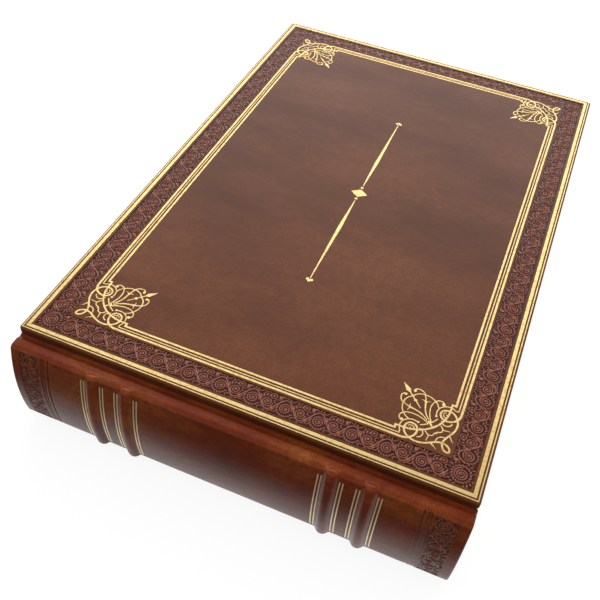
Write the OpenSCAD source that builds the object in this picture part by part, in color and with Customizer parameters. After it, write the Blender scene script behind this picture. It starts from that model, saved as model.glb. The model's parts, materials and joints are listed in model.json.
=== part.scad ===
// Album-format guest book bound in full leather: hollow rounded spine with raised bands,
// blind-stamped scroll border, gold fillets and corner ornaments.
// The book lies on its back cover. X runs from the spine to the fore edge, Y from tail to head.

/* [Book] */
// Length of a covered board, from its spine side to the fore edge
cover_l = 310.2; // [220:0.1:360]
// Height of a covered board, from tail to head
cover_h = 206; // [196:0.1:300]
// Thickness of the closed book over both covers
book_t = 56; // [46:0.5:70]

/* [Boards and leather] */
// Thickness of the pasteboard
board_t = 2.6; // [2:0.1:3.4]
// Thickness of the covering leather
leather_t = 0.9; // [0.6:0.05:1.2]
// Thickness of the pared leather turned in round a board
turn_in_t = 0.5; // [0.3:0.05:0.8]
// Width of the turned-in leather inside a cover
turn_in_w = 14; // [8:0.5:22]
// Thickness of the endpaper
paper_t = 0.3; // [0.15:0.05:0.5]
// Leather margin left showing round a pastedown
pastedown_margin = 3.5; // [2:0.5:7]
// Rounding of a cover's long edges
arris_r = 0.9; // [0.3:0.1:1.2]
// Rounding of a cover's four corners, seen from above
corner_r = 1.4; // [0.5:0.1:4]

/* [Spine] */
// How far the middle of the spine stands out from the boards
spine_reach = 10.5; // [9.8:0.1:14]
// Radius of the rounded spine face
spine_r = 100; // [80:1:200]
// Rounding of the shoulder between the joint and the spine face
shoulder_r = 4; // [3.6:0.1:5]
// Drop from the face of a cover to the leather in the joint
joint_drop = 4; // [3.8:0.1:4.3]
// Distance from a board to the fold line of its joint
hinge_out = 5.6; // [5.5:0.1:7]
// Height of the fold line above the leather in the joint
hinge_lift = 0.15; // [0.1:0.05:0.3]
// Gap between the two sides of a fold line
fold_gap = 0.3; // [0.2:0.05:0.5]
// Thickness of the stiff card inside the spine
liner_t = 1.5; // [1:0.1:2]
// Open space between the card and the lined back of the pages
hollow_gap = 0.5; // [0.3:0.1:1]

/* [Stamped ends of the spine] */
// Distance of a stamped panel from the end of the spine
panel_end = 4.5; // [3:0.1:6]
// Width of a stamped panel
panel_w = 9.5; // [8:0.1:10]
// Distance from a stamped panel to the first of its three blind lines
blind_at = 1.6; // [1.2:0.1:2]
// Width of a blind line
blind_w = 0.5; // [0.3:0.1:0.7]
// Depth of the stamped panels and lines
stamp_depth = 0.25; // [0.15:0.05:0.4]

/* [Raised bands] */
// Width of a raised band at its foot
band_w = 7; // [5.5:0.1:8]
// Height of a raised band over the spine face
band_rise = 2; // [1.2:0.1:2.2]
// Distance of the two inner bands from the middle of the spine
band_inner = 46.1; // [38:0.1:50]
// Distance of the two outer bands from the middle of the spine
band_outer = 62.3; // [60:0.1:72]

/* [Pages] */
// Overhang of the covers beyond the pages
square_w = 3; // [2:0.1:5]
// Clearance between the top leaf and the leather in the joint
joint_clear = 0.7; // [0.5:0.1:3]
// Depth of the hollow in the fore edge
fore_hollow = 6; // [2:0.5:9]
// Gap between a pastedown and its flyleaf
seat_gap = 0.2; // [0.1:0.05:0.3]
// Thickness of the gauze lining and its glue over the back of the pages
mull_t = 0.9; // [0.8:0.1:1.3]
// Thickness of a sewing tape
tape_t = 0.4; // [0.2:0.1:0.5]
// Width of a sewing tape
tape_w = 12; // [8:1:16]
// Radius of a worked endband
endband_r = 1; // [0.7:0.1:1.3]

/* [Gold lines] */
// Thickness of the gold
gilt_t = 0.1; // [0.05:0.05:0.2]
// Inset of the gold frame's outer edge from the edge of the cover
frame_inset = 2.2; // [1.6:0.1:4]
// Width of the wide outer fillet
border_w = 1.6; // [0.8:0.1:2.2]
// Width of the thin line on the edge of the cover
edge_line_w = 0.5; // [0.3:0.1:0.6]
// Space between the thin edge line and the outer fillet
edge_line_gap = 0.75; // [0.6:0.05:1]
// Width of one line on the spine
spine_line_w = 0.55; // [0.4:0.05:0.8]
// Distance between the two lines of a pair on the spine
spine_line_pitch = 1.4; // [1.1:0.1:1.8]
// Distance of a pair of lines from the middle of its raised band
spine_line_off = 4.6; // [4.2:0.1:5.5]

/* [Inner frame] */
// Distance of the outer line from the gold frame's outer edge
inner_1_at = 14.65; // [14:0.05:16]
// Width of the outer line
inner_1_w = 1; // [0.6:0.05:1.2]
// Distance from the outer line to the thin middle line
inner_2_step = 1.5; // [1.2:0.05:2]
// Width of the thin middle line
inner_2_w = 0.45; // [0.3:0.05:0.7]
// Distance from the outer line to the inner line
inner_3_step = 3.2; // [2.8:0.05:3.6]
// Width of the inner line
inner_3_w = 0.95; // [0.6:0.05:1.2]

/* [Scroll border] */
// Start of the stamped band, from the gold frame's outer edge
scroll_at = 2.8; // [2.4:0.1:3.4]
// Width of the stamped band
scroll_w = 10.4; // [9.8:0.1:11]
// Depth of the stamped ground
scroll_depth = 0.3; // [0.15:0.05:0.4]
// Length of one repeat of the scroll
scroll_pitch = 14.7; // [14:0.1:20]

/* [Ornaments] */
// Reach of a corner ornament, from the gold frame's corner to its tip, along X and along Y
corner_l = 41.7; // [37:0.1:46]
// Length of the swelled rule in the middle of the front cover
rule_l = 149; // [100:1:170]
// Height of the lozenge in the middle of the rule
rule_h = 9; // [6:0.5:14]

/* [Hidden] */
$fn = 96;

// Colours as the photo shows them
leather_c = [0.40, 0.19, 0.09];
spine_c = [0.34, 0.14, 0.07];
gold_c = [0.90, 0.74, 0.36];
paper_c = [0.93, 0.88, 0.76];
board_c = [0.55, 0.50, 0.42];
cloth_c = [0.86, 0.82, 0.72];

// Stack of a cover, and the space left for the pages
skin_t = leather_t + board_t + turn_in_t;
lid_t = skin_t + paper_t;
mid_z = book_t / 2;
block_half = mid_z - lid_t - seat_gap;
pages_half = block_half - paper_t;

// Places along X, with the whole book centred on the origin
total_l = cover_l + spine_reach + band_rise;
fore_x = total_l / 2;
edge_x = fore_x - cover_l;
spine_x = edge_x - spine_reach;
hinge_x = edge_x - hinge_out;

// Places along Y
half_h = cover_h / 2;
block_h = cover_h - 2 * square_w;
half_block = block_h / 2;

// Rounded spine: the face arc, and the shoulder arcs that run into it
joint_half = mid_z - joint_drop;
face_cx = spine_x + spine_r;
shoulder_z = joint_half - shoulder_r;
shoulder_x = face_cx - sqrt(pow(spine_r - shoulder_r, 2) - pow(shoulder_z, 2));
face_turn = asin(shoulder_z / (spine_r - shoulder_r));

// Rounded back of the pages
back_x = spine_x + leather_t + liner_t + hollow_gap + mull_t;
top_x = edge_x + leather_t + joint_clear;
back_sag = top_x - back_x;
back_r = (pow(block_half, 2) + pow(back_sag, 2)) / (2 * back_sag);
back_cx = back_x + back_r;

// Hollow fore edge of the pages
pages_x = fore_x - square_w;
fore_r = (pow(block_half, 2) + pow(fore_hollow, 2)) / (2 * fore_hollow);

// Frame of the front cover: the outer edges of the gold frame
frame_l = cover_l - 2 * frame_inset;
frame_h = cover_h - 2 * frame_inset;
frame_cx = (edge_x + fore_x) / 2;

// Helpers: shapes drawn in the X-Z plane and carried along Y, and arcs round an axis along Y
module along_y(y0, y1) {
    translate([0, y1, 0]) rotate([90, 0, 0]) linear_extrude(y1 - y0) children();
}

module box(lo, hi) {
    translate(lo) cube(hi - lo);
}

// Part of a turned profile: radius along the 2-D x axis, Y along the 2-D y axis.
// Angles count from the side away from the pages, positive upwards.
module turned(cx, cz, from, to) {
    translate([cx, 0, cz]) rotate([-90, 0, 0]) rotate([0, 0, 180 + from])
        rotate_extrude(angle = to - from) children();
}

module arc_wall(cx, cz, r0, r1, from, to, y0, y1) {
    turned(cx, cz, from, to) translate([r0, y0]) square([r1 - r0, y1 - y0]);
}

module flip() {
    translate([0, 0, book_t]) mirror([0, 0, 1]) children();
}

module both_ways() {
    children();
    flip() children();
}

function arc_points(cx, cy, r, from, to, n) =
    [for (i = [0:n]) let (a = from + (to - from) * i / n) [cx + r * cos(a), cy + r * sin(a)]];

function round_box_points(w, h, r) = concat(
    arc_points(w / 2 - r, h / 2 - r, r, 0, 90, 5), arc_points(r - w / 2, h / 2 - r, r, 90, 180, 5),
    arc_points(r - w / 2, r - h / 2, r, 180, 270, 5), arc_points(w / 2 - r, r - h / 2, r, 270, 360, 5));

module round_box(w, h, r) {
    polygon(round_box_points(w, h, r));
}

// Back of the pages, and the pages' own outline with its hollow fore edge
module block_slice(z0, z1) {
    difference() {
        intersection() {
            box([back_x, -half_block, z0], [pages_x, half_block, z1]);
            union() {
                along_y(-half_h, half_h) translate([back_cx, mid_z]) circle(back_r);
                box([back_cx, -half_h, 0], [fore_x, half_h, book_t]);
            }
        }
        along_y(-half_h, half_h) translate([pages_x - fore_hollow + fore_r, mid_z]) circle(fore_r);
    }
}

module text_block() {
    color(paper_c) block_slice(mid_z - pages_half, mid_z + pages_half);
}

module front_flyleaf() {
    color(paper_c) block_slice(mid_z + pages_half, mid_z + block_half);
}

module back_flyleaf() {
    color(paper_c) flip() block_slice(mid_z + pages_half, mid_z + block_half);
}

// Linings on the rounded back, each stopping short of the first and last leaf
glue_t = 0.25;
lining_r = back_r + glue_t;
tape_count = 5;
tape_stop = 3;
mull_stop = 0.5;
endband_stop = 2.5;
tongue_l = 12;
tongue_t = 0.3;
tape_pitch = (block_h - 2 * tongue_l - 2 * tape_w) / (tape_count - 1);
tape_turn = asin((block_half - tape_stop) / back_r);
mull_turn = asin((joint_half - leather_t - mull_stop) / (back_r + mull_t));
endband_turn = asin((block_half - endband_stop) / back_r);
mull_y = half_block - tongue_l - mull_stop;

module tapes(extra) {
    for (i = [0:tape_count - 1])
        let (y = (i - (tape_count - 1) / 2) * tape_pitch)
            arc_wall(back_cx, mid_z, lining_r - extra, lining_r + tape_t, -tape_turn, tape_turn,
                y - tape_w / 2, y + tape_w / 2);
}

module sewing_tapes() {
    color(cloth_c) tapes(0);
}

module mull() {
    color(cloth_c) difference() {
        arc_wall(back_cx, mid_z, lining_r, back_r + mull_t, -mull_turn, mull_turn, -mull_y, mull_y);
        tapes(1);
    }
}

module endband() {
    union() {
        turned(back_cx, mid_z, -endband_turn, endband_turn)
            translate([back_r - 0.6 * endband_r, half_block + endband_r]) circle(endband_r);
        arc_wall(back_cx, mid_z, lining_r, lining_r + tongue_t, -endband_turn, endband_turn,
            half_block - tongue_l, half_block + endband_r);
    }
}

module head_band() {
    color("firebrick") endband();
}

module tail_band() {
    color("firebrick") mirror([0, 1, 0]) endband();
}

// Outline of the spine and joints at a depth under the leather's face, filled solid, in the
// X-Z plane: the face arc, both shoulder arcs, and the flat joints up to the boards.
module outline(depth) {
    union() {
        intersection() {
            translate([face_cx, mid_z]) circle(spine_r - depth, $fn = 4 * $fn);
            translate([face_cx, mid_z]) polygon([
                [0, 0],
                [-2 * spine_r * cos(face_turn), 2 * spine_r * sin(face_turn)],
                [-2 * spine_r * cos(face_turn), -2 * spine_r * sin(face_turn)]]);
        }
        for (s = [-1, 1])
            translate([shoulder_x, mid_z + s * shoulder_z]) circle(shoulder_r - depth);
        translate([shoulder_x, mid_z - joint_half + depth])
            square([edge_x + leather_t - shoulder_x, 2 * (joint_half - depth)]);
    }
}

module left_of(x) {
    translate([x - total_l, 0]) square([total_l, book_t]);
}

// Section of a raised band: two equal arcs swing up from each foot to the rounded crest
swell_steps = 3;

function swell(half_w, rise, base) = let (
        n = swell_steps,
        turn = 2 * atan(rise / half_w),
        r = half_w / (2 * sin(turn)))
    concat(
        [for (i = [0:n]) let (a = turn * i / n) [base + r - r * cos(a), -half_w + r * sin(a)]],
        [for (i = [1:2 * n - 1]) let (a = turn * (1 - i / n))
            [base + rise - r + r * cos(a), -r * sin(a)]],
        [for (i = [n:-1:0]) let (a = turn * i / n) [base + r - r * cos(a), half_w - r * sin(a)]]);

band_places = [-band_outer, -band_inner, band_inner, band_outer];

// A raised band in the leather: a swell turned round the spine face, meeting one that runs
// out level with the joints. Both start a little under the leather round them.
swell_sink = 0.4;
foot_z = spine_r * sin(face_turn) - 0.5 * swell_sink;
end_rise = joint_half - foot_z - 0.1 * swell_sink;
end_turn = asin(joint_half / spine_r) + 1;

module crest_outline() {
    crest_r = spine_r + band_rise + 0.1 * swell_sink;
    bend_at = crest_r - shoulder_r / 2;
    bend_turn = asin((joint_half - shoulder_r / 2) / bend_at);
    intersection() {
        translate([face_cx, mid_z]) circle(crest_r, $fn = 4 * $fn);
        union() {
            translate([spine_x - 2 * band_rise, mid_z - crest_r * sin(bend_turn)])
                square([total_l, 2 * crest_r * sin(bend_turn)]);
            for (s = [-1, 1])
                translate([face_cx - bend_at * cos(bend_turn), mid_z + s * bend_at * sin(bend_turn)])
                    circle(shoulder_r / 2);
            translate([face_cx - bend_at * cos(bend_turn), mid_z - joint_half])
                square([total_l, 2 * joint_half]);
        }
    }
}

module ridge(at) {
    deep_r = spine_r - 3 * band_rise;
    ends = swell(band_w / 2, end_rise, foot_z);
    n = len(ends);
    intersection() {
        turned(face_cx, mid_z, -end_turn, end_turn) translate([0, at])
            polygon(concat([[deep_r, -band_w / 2]], swell(band_w / 2, band_rise, spine_r),
                [[deep_r, band_w / 2]]));
        translate([spine_x - 2 * band_rise, at, mid_z]) rotate([90, 0, 90])
            linear_extrude(2 * spine_reach) polygon(concat(
                [for (p = ends) [p[1], p[0]]], [for (i = [n - 1:-1:0]) [ends[i][1], -ends[i][0]]]));
        along_y(at - band_w, at + band_w) crest_outline();
    }
}

// The strip under the leather of a raised band lies on the card inside the spine
strip_half_w = band_w / 2 - 0.6 * leather_t;
strip_turn = 0.95 * face_turn;

module strip(at, sink) {
    base = spine_r - leather_t;
    turned(face_cx, mid_z, -strip_turn, strip_turn) translate([0, at])
        polygon(concat(sink > 0 ? [[base - sink, -strip_half_w]] : [],
            swell(strip_half_w, band_rise, base),
            sink > 0 ? [[base - sink, strip_half_w]] : []));
}

module raised_band(i) {
    color(board_c) strip(band_places[i], 0);
}

module raised_band_1() {
    raised_band(0);
}

module raised_band_2() {
    raised_band(1);
}

module raised_band_3() {
    raised_band(2);
}

module raised_band_4() {
    raised_band(3);
}

module spine_liner() {
    color(board_c) difference() {
        along_y(leather_t - half_h, half_h - leather_t) intersection() {
            outline(leather_t);
            left_of(hinge_x - fold_gap / 2);
        }
        along_y(-half_h, half_h) outline(leather_t + liner_t);
    }
}

// What the hot tools press into one end of the spine: a scroll panel and three blind lines
stamp_turn = face_turn * 0.95;
line_step = 1.2;
panel_l = 2 * spine_r * stamp_turn * PI / 180;

module stamped_ring(y, w) {
    arc_wall(face_cx, mid_z, spine_r - stamp_depth, spine_r + 1, -stamp_turn, stamp_turn, y, y + w);
}

module stamped_end() {
    panel_y = half_h - panel_end - panel_w;
    difference() {
        stamped_ring(panel_y, panel_w);
        translate([spine_x - 1, panel_y + panel_w, mid_z]) rotate([90, 0, 90])
            linear_extrude(spine_reach) rotate(90) scroll_run(panel_l, panel_w);
    }
    for (at = [0, line_step, 2.6 * line_step])
        stamped_ring(panel_y - blind_at - at - blind_w / 2, blind_w);
}

// The leather runs over the card and the strips, and is turned in and stamped at both ends
module spine_leather() {
    color(spine_c) difference() {
        intersection() {
            union() {
                along_y(-half_h, half_h) outline(0);
                for (at = band_places)
                    ridge(at);
            }
            along_y(-half_h - 1, half_h + 1) left_of(hinge_x - fold_gap / 2);
        }
        along_y(leather_t - half_h, half_h - leather_t) outline(leather_t);
        along_y(-half_h - 1, half_h + 1) outline(leather_t + liner_t);
        for (at = band_places)
            strip(at, swell_sink);
        for (s = [0, 1])
            mirror([0, s, 0]) stamped_end();
    }
}

// Double gold lines beside each raised band, from shoulder to shoulder
module spine_gilt() {
    line_turn = face_turn * 0.97;
    color(gold_c) for (at = band_places, side = [-1, 1], pair = [-1, 1])
        let (y = at + side * spine_line_off + pair * spine_line_pitch / 2)
            arc_wall(face_cx, mid_z, spine_r, spine_r + gilt_t, -line_turn, line_turn,
                y - spine_line_w / 2, y + spine_line_w / 2);
}

// Covers: board, leather skin with turn-ins and joint strip, and pastedown
module board() {
    box([edge_x + leather_t, leather_t - half_h, book_t - leather_t - board_t],
        [fore_x - leather_t, half_h - leather_t, book_t - leather_t]);
}

module skin() {
    z0 = book_t - skin_t;
    z_mid = book_t - skin_t / 2;
    difference() {
        union() {
            intersection() {
                translate([frame_cx, 0, z0]) linear_extrude(skin_t)
                    round_box(cover_l, cover_h, corner_r);
                along_y(-half_h, half_h) translate([frame_cx, z_mid])
                    round_box(cover_l, skin_t, arris_r);
                rotate([0, 0, 90]) along_y(-fore_x, fore_x) translate([0, z_mid])
                    round_box(cover_h, skin_t, arris_r);
            }
            along_y(corner_r - half_h, half_h - corner_r) intersection() {
                difference() {
                    outline(0);
                    outline(leather_t);
                }
                translate([hinge_x + fold_gap / 2, mid_z]) square([total_l, book_t]);
            }
            box([edge_x, corner_r - half_h, book_t - joint_drop - leather_t],
                [edge_x + leather_t, half_h - corner_r, z_mid]);
        }
        board();
        box([edge_x + leather_t, turn_in_w - half_h, z0 - leather_t],
            [fore_x - turn_in_w, half_h - turn_in_w, z_mid]);
    }
}

module pastedown() {
    z0 = book_t - lid_t;
    union() {
        box([edge_x + leather_t, pastedown_margin - half_h, z0],
            [fore_x - pastedown_margin, half_h - pastedown_margin, z0 + paper_t]);
        box([edge_x + leather_t, turn_in_w - half_h, z0],
            [fore_x - turn_in_w, half_h - turn_in_w, z0 + paper_t + turn_in_t]);
    }
}

module front_board() {
    color(board_c) board();
}

module back_board() {
    color(board_c) flip() board();
}

module front_pastedown() {
    color(paper_c) pastedown();
}

module back_pastedown() {
    color(paper_c) flip() pastedown();
}

module back_leather() {
    color(leather_c) flip() skin();
}

// Gold on the front cover, drawn flat in the gold frame
module frame_ring(at, w) {
    difference() {
        square([frame_l - 2 * at, frame_h - 2 * at], center = true);
        square([frame_l - 2 * (at + w), frame_h - 2 * (at + w)], center = true);
    }
}

module gilt_layer() {
    color(gold_c) translate([frame_cx, 0, book_t]) linear_extrude(gilt_t) children();
}

module gilt_border() {
    gilt_layer() frame_ring(0, border_w);
}

module gilt_edge_line() {
    gilt_layer() frame_ring(-edge_line_gap - edge_line_w, edge_line_w);
}

// Stamped scroll: spirals, a berry and leaves, with few sides, left standing on the sunk
// ground. One repeat is drawn about x = 0, from the outer rim of the band at y = 0 inwards.
drawn_band = 10.4;

module spiral(c, r0, r1, from, turn, w, n) {
    polygon(concat(
        [for (i = [0:n]) let (a = from + turn * i / n, r = r0 + (r1 - r0) * i / n)
            c + (r + w / 2) * [cos(a), sin(a)]],
        [for (i = [n:-1:0]) let (a = from + turn * i / n, r = r0 + (r1 - r0) * i / n)
            c + (r - w / 2) * [cos(a), sin(a)]]));
}

module berry(c, r) {
    polygon([for (a = [0:60:300]) c + r * [cos(a), sin(a)]]);
}

module leaflet(c, l, w, turn) {
    translate(c) rotate(turn) polygon([[l / 2, 0], [0, w / 2], [-l / 2, 0], [0, -w / 2]]);
}

module scroll_unit() {
    spiral([-3.1, 4.5], 3.1, 1.1, -20, 450, 0.8, 10);
    berry([4, 7.2], 1.1);
    leaflet([0.6, 2], 3.4, 1.2, 35);
    leaflet([2.8, 4.2], 3, 1.1, 75);
    leaflet([5.3, 3.4], 3.2, 1.2, -50);
}

module scroll_run(length, w) {
    n = max(1, round(length / scroll_pitch));
    for (i = [0:n - 1])
        translate([(i + 0.5) * length / n - length / 2, 0]) scale(w / drawn_band) scroll_unit();
}

module rosette() {
    berry([0, 0], 1);
    for (a = [0:60:300])
        rotate(a) leaflet([2.8, 0], 2.9, 1.2, 0);
    for (a = [45:90:315])
        rotate(a) leaflet([5.4, 0], 3, 1.2, 90);
}

module scroll_figure() {
    out_x = frame_l / 2 - scroll_at;
    out_y = frame_h / 2 - scroll_at;
    for (s = [0, 1])
        rotate(180 * s) {
            translate([0, -out_y]) scroll_run(2 * (out_x - scroll_w), scroll_w);
            translate([out_x, 0]) rotate(90) scroll_run(2 * (out_y - scroll_w), scroll_w);
        }
    for (sx = [-1, 1], sy = [-1, 1])
        translate([sx * (out_x - scroll_w / 2), sy * (out_y - scroll_w / 2)])
            scale(scroll_w / drawn_band) rosette();
}

module front_leather() {
    color(leather_c) difference() {
        skin();
        translate([frame_cx, 0, book_t - scroll_depth]) linear_extrude(2 * scroll_depth)
            difference() {
                frame_ring(scroll_at, scroll_w);
                scroll_figure();
            }
    }
}

// The corner ornaments are drawn at one size, with their tip and the frame's outer line at
// these distances from the gold frame's corner, and carried to the size asked for.
drawn_tip = 41.7;
drawn_line = 14.65;
unit = corner_l / drawn_tip;

// Inner frame of three lines, each of which stops a hair's breadth short of the ornaments
corner_stop_1 = 35.15 * unit;
corner_stop_2 = 36.5 * unit;
corner_stop_3 = 39.05 * unit;

module side_lines(at, w, stop) {
    in = inner_1_at - drawn_line * unit;
    for (s = [-1, 1]) {
        translate([0, s * (frame_h / 2 - at)])
            square([frame_l - 2 * (in + stop), w], center = true);
        translate([s * (frame_l / 2 - at), 0])
            square([w, frame_h - 2 * (in + stop)], center = true);
    }
}

module gilt_inner_frame() {
    gilt_layer() {
        side_lines(inner_1_at, inner_1_w, corner_stop_1);
        side_lines(inner_1_at + inner_2_step, inner_2_w, corner_stop_2);
        side_lines(inner_1_at + inner_3_step, inner_3_w, corner_stop_3);
    }
}

module corner(sx, sy) {
    in = inner_1_at - drawn_line * unit;
    gilt_layer() mirror([sx < 0 ? 1 : 0, 0]) mirror([0, sy < 0 ? 1 : 0])
        translate([in - frame_l / 2, in - frame_h / 2]) scale([unit, unit]) ornament();
}

module gilt_corner_1() {
    corner(1, 1);
}

module gilt_corner_2() {
    corner(1, -1);
}

module gilt_corner_3() {
    corner(-1, 1);
}

module gilt_corner_4() {
    corner(-1, -1);
}

// Gold strands: tapered strokes along cubic curves and arcs, drawn from the frame's corner
strand_steps = 10;

function mix(p, t) = let (s = 1 - t)
    s * s * s * p[0] + 3 * s * s * t * p[1] + 3 * s * t * t * p[2] + t * t * t * p[3];

function slope(p, t) = let (s = 1 - t)
    s * s * (p[1] - p[0]) + 2 * s * t * (p[2] - p[1]) + t * t * (p[3] - p[2]);

function side_of(p, t, w) = let (d = slope(p, t), n = [-d[1], d[0]] / norm(d)) mix(p, t) + n * w / 2;

module strand(a, b, c, d, w0, w1) {
    p = [a, b, c, d];
    n = strand_steps;
    polygon(concat(
        [for (i = [0:n]) side_of(p, i / n, w0 + (w1 - w0) * i / n)],
        [for (i = [n:-1:0]) side_of(p, i / n, -(w0 + (w1 - w0) * i / n))]));
}

module sweep(c, r, from, to, w) {
    n = max(4, ceil(abs(to - from) / 12));
    polygon(concat(arc_points(c[0], c[1], r + w / 2, from, to, n),
        arc_points(c[0], c[1], r - w / 2, to, from, n)));
}

module bead(c, r) {
    translate(c) circle(r, $fn = 24);
}

main_w = 0.8;
thin_w = 0.5;

// Half of a corner ornament, on the side of the frame's long edge
module half_ornament() {
    // Loop at the corner, and the strand that leaves it
    strand([18.6, 18.6], [18.6, 16.4], [16.9, 14.5], [15.1, 15.1], main_w, main_w);
    strand([18.4, 18.6], [22.2, 18.6], [24.2, 14.8], [29, 14.9], main_w, main_w);
    strand([28.9, 14.9], [31.3, 14.9], [35.1, 16.6], [35, 19.9], main_w, main_w);
    // Ring, run on into the outer line of the frame
    strand([35, 19.8], [34.9, 21.9], [33.8, 22.9], [32.3, 22.9], main_w, main_w);
    strand([32.4, 22.9], [30.8, 22.9], [29.7, 21.7], [29.6, 19.8], main_w, main_w);
    strand([29.6, 19.9], [29.5, 17.2], [31.8, 14.65], [35.1, 14.65], main_w, 1);
    // Curl inside the ring
    strand([33.7, 20.7], [33.4, 22.1], [31.3, 22.1], [31.1, 20.6], thin_w * 0.6, thin_w);
    strand([31.1, 20.7], [31, 19.5], [32.6, 19.3], [32.6, 20.7], thin_w, thin_w);
    // Great arc, run out to the stepped end of the inner line
    sweep([35.4, 35.4], 16, 225, 270, main_w);
    strand([35.3, 19.4], [36.4, 19.4], [37.5, 19.4], [38.8, 19.4], main_w, main_w);
    translate([38.1, 17.4]) square([0.9, 2.4]);
    // Thin arcs round the ring, the first one run on into the thin middle line
    strand([36.2, 15.95], [36.2, 16.4], [36.2, 16.9], [36.2, 17.6], thin_w, thin_w);
    sweep([32.4, 20], 4.6, -34, 112, thin_w);
    bead([30.3, 24.3], 0.55);
    sweep([29.4, 19.4], 2.3, 98, 262, thin_w);
    // Cusped bracket and its tail
    strand([26.5, 21.4], [25.1, 19.3], [23.1, 19.8], [22.9, 21.3], thin_w, thin_w);
    strand([22.9, 21.2], [22.8, 21.9], [22.5, 22.3], [21.8, 21.8], thin_w, thin_w);
    strand([24.9, 16.9], [25.3, 17.8], [24.5, 18.8], [24.9, 20.1], thin_w * 0.6, thin_w);
    sweep([18.6, 18.6], 2.8, -10, 45, thin_w);
    // Leaf tip beside the corner loop
    strand([22.9, 16.8], [22.2, 15.8], [21.6, 16], [20.3, 14.6], main_w, 0.15);
    // Fan: hooked petals, rounded outline, three-pointed leaf
    bead([37.2, 22.9], 0.75);
    strand([37.4, 22.6], [39.1, 23.4], [38.8, 25.7], [36.9, 26.7], thin_w, thin_w);
    strand([37, 26.65], [34.6, 28.2], [30.2, 27.7], [26.4, 25.4], thin_w, thin_w);
    strand([34.4, 24.3], [37.5, 25.3], [39.2, 28.6], [38.9, 31.7], thin_w, thin_w);
    strand([38.9, 31.6], [38.6, 34.2], [37.4, 35.3], [35.9, 36.2], thin_w, thin_w);
    strand([38.7, 31.1], [40.8, 32.2], [41.5, 35.6], [39.4, 36.2], thin_w, thin_w);
    bead([39.1, 35.9], 0.65);
    strand([27.3, 26.6], [29.4, 29], [32.3, 29.8], [35.3, 30.1], thin_w, 0.7);
    strand([34.6, 30.1], [35.7, 30.1], [36.1, 29.4], [36.2, 28.2], 0.7, 0.2);
    strand([34.6, 30.1], [35.7, 30.2], [36.1, 30.9], [35.9, 32.1], 0.7, 0.2);
    strand([35, 30.1], [36.2, 30.3], [37.4, 30.7], [38.8, 31.4], thin_w, thin_w);
    // Stem and finial on the diagonal
    strand([31.4, 31.4], [32.3, 32.3], [33.2, 33.2], [34.2, 34.2], 0.3, 0.6);
    bead([34.4, 34.4], 0.7);
    strand([34.6, 34.6], [35.5, 35.5], [36.4, 36.4], [37.4, 37.4], thin_w, thin_w);
    polygon([[37.2, 37.2], [39.4, 37.9], [41.7, 41.7]]);
    // Collar where the fan springs from the great arc
    sweep([35.4, 35.4], 13.6, 225, 243, thin_w);
    strand([24.1, 24.1], [24.8, 24.8], [25.4, 25.4], [26.2, 26.2], main_w, main_w);
    bead([26.1, 26.1], 0.8);
}

module ornament() {
    half_ornament();
    mirror([1, -1]) half_ornament();
}

// Centre ornament: a lozenge between two swelled rules that end in trefoils
module gilt_centre_rule() {
    lozenge_w = 0.76 * rule_h;
    bead_r = 0.8;
    rule_end = rule_l / 2 - 4 * bead_r;
    rule_from = lozenge_w / 2 + 4 * bead_r;
    swell_at = rule_from + 0.35 * (rule_end - rule_from);
    gilt_layer() for (s = [0, 1]) mirror([s, 0]) {
        polygon([[0, rule_h / 2], [lozenge_w / 2, 0], [0, -rule_h / 2]]);
        bead([lozenge_w / 2 + 2 * bead_r, 0], bead_r);
        polygon([[rule_from, 0.2], [swell_at, 0.9], [rule_end, 0.2], [rule_end, -0.2],
            [swell_at, -0.9], [rule_from, -0.2]]);
        for (t = [-90, 0, 90])
            bead([rule_end + bead_r + bead_r * cos(t), 1.3 * bead_r * sin(t)], bead_r);
    }
}

text_block();
front_flyleaf();
back_flyleaf();
sewing_tapes();
mull();
head_band();
tail_band();
spine_liner();
raised_band_1();
raised_band_2();
raised_band_3();
raised_band_4();
spine_leather();
spine_gilt();
front_board();
front_leather();
front_pastedown();
gilt_edge_line();
gilt_border();
gilt_inner_frame();
gilt_corner_1();
gilt_corner_2();
gilt_corner_3();
gilt_corner_4();
gilt_centre_rule();
back_board();
back_leather();
back_pastedown();
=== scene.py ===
"""Dresses a landscape guest book: full brown leather, hollow banded spine, gold and blind tooling.

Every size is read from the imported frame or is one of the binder's measures named below, in metres.
"""

from __future__ import annotations

import json
import logging
import math
import sys
from dataclasses import dataclass, field
from enum import Enum
from typing import Callable

import bmesh
import bpy
import numpy as np
from mathutils import Matrix, Vector

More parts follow.
